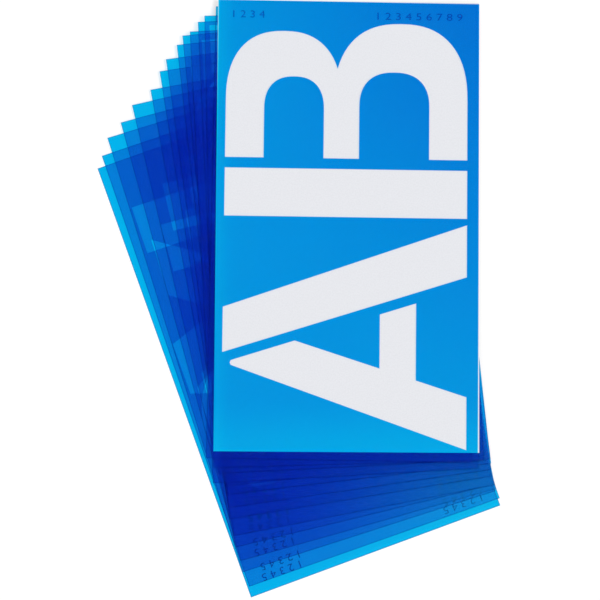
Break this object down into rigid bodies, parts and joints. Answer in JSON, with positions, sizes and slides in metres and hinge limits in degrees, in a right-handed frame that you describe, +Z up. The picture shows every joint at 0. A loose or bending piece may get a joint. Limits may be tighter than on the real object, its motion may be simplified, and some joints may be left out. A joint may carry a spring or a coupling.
{
  "type": "lettering stencil set",
  "caption": "Hand-fanned pile of thin blue see-through film sheets with large bold capital letters cut through them, the top sheet lying on a white card.",
  "frame": {"origin": "middle of the fan's footprint, on the table it lies on", "axes": "+X across the top sheet, to the right as its pile is seen from above; +Y along the top sheet, the way its line of lettering reads; +Z up from the table"},
  "size_m": [0.2544, 0.3746, 0.0057],
  "materials": {
    "blue_film": "smooth see-through film",
    "card": "uncoated white card"
  },
  "bodies": {
    "stencil_15": {"stencil_15": "blue_film"},
    "stencil_14": {"stencil_14": "blue_film"},
    "stencil_13": {"stencil_13": "blue_film"},
    "stencil_12": {"stencil_12": "blue_film"},
    "stencil_11": {"stencil_11": "blue_film"},
    "stencil_10": {"stencil_10": "blue_film"},
    "stencil_09": {"stencil_09": "blue_film"},
    "stencil_08": {"stencil_08": "blue_film"},
    "stencil_07": {"stencil_07": "blue_film"},
    "stencil_06": {"stencil_06": "blue_film"},
    "stencil_05": {"stencil_05": "blue_film"},
    "stencil_04": {"stencil_04": "blue_film"},
    "stencil_03": {"stencil_03": "blue_film"},
    "stencil_02": {"stencil_02": "blue_film"},
    "stencil_01": {"stencil_01": "blue_film"},
    "backing_card": {"backing_card": "card"}
  },
  "joints": [
    {"name": "fan_02", "type": "hinge", "parent": "stencil_15", "child": "stencil_02", "pos_m": [0.20685, -0.07258, 0], "axis": [0, 0, 1], "range_deg": [0, 21]},
    {"name": "fan_03", "type": "hinge", "parent": "stencil_15", "child": "stencil_03", "pos_m": [0.20685, -0.07258, 0], "axis": [0, 0, 1], "range_deg": [0, 18.6]},
    {"name": "fan_04", "type": "hinge", "parent": "stencil_15", "child": "stencil_04", "pos_m": [0.20685, -0.07258, 0], "axis": [0, 0, 1], "range_deg": [0, 17.1]},
    {"name": "fan_05", "type": "hinge", "parent": "stencil_15", "child": "stencil_05", "pos_m": [0.20685, -0.07258, 0], "axis": [0, 0, 1], "range_deg": [0, 16.8]},
    {"name": "fan_06", "type": "hinge", "parent": "stencil_15", "child": "stencil_06", "pos_m": [0.20685, -0.07258, 0], "axis": [0, 0, 1], "range_deg": [0, 14.2]},
    {"name": "fan_07", "type": "hinge", "parent": "stencil_15", "child": "stencil_07", "pos_m": [0.20685, -0.07258, 0], "axis": [0, 0, 1], "range_deg": [0, 13.3]},
    {"name": "fan_08", "type": "hinge", "parent": "stencil_15", "child": "stencil_08", "pos_m": [0.20685, -0.07258, 0], "axis": [0, 0, 1], "range_deg": [0, 11.8]},
    {"name": "fan_09", "type": "hinge", "parent": "stencil_15", "child": "stencil_09", "pos_m": [0.20685, -0.07258, 0], "axis": [0, 0, 1], "range_deg": [0, 10.8]},
    {"name": "fan_10", "type": "hinge", "parent": "stencil_15", "child": "stencil_10", "pos_m": [0.20685, -0.07258, 0], "axis": [0, 0, 1], "range_deg": [0, 9.1]},
    {"name": "fan_11", "type": "hinge", "parent": "stencil_15", "child": "stencil_11", "pos_m": [0.20685, -0.07258, 0], "axis": [0, 0, 1], "range_deg": [0, 6.5]},
    {"name": "fan_12", "type": "hinge", "parent": "stencil_15", "child": "stencil_12", "pos_m": [0.20685, -0.07258, 0], "axis": [0, 0, 1], "range_deg": [0, 4.4]},
    {"name": "fan_13", "type": "hinge", "parent": "stencil_15", "child": "stencil_13", "pos_m": [0.20685, -0.07258, 0], "axis": [0, 0, 1], "range_deg": [0, 2.4]},
    {"name": "fan_14", "type": "hinge", "parent": "stencil_15", "child": "stencil_14", "pos_m": [0.20685, -0.07258, 0], "axis": [0, 0, 1], "range_deg": [0, 0.8]},
    {"name": "fan_card", "type": "hinge", "parent": "stencil_15", "child": "backing_card", "pos_m": [0.20685, -0.07258, 0], "axis": [0, 0, 1], "range_deg": [0, 20.6]},
    {"name": "lift_top_stencil", "type": "slide", "parent": "backing_card", "child": "stencil_01", "axis": [0, 0, 1], "range_m": [0, 0.04]}
  ]
}
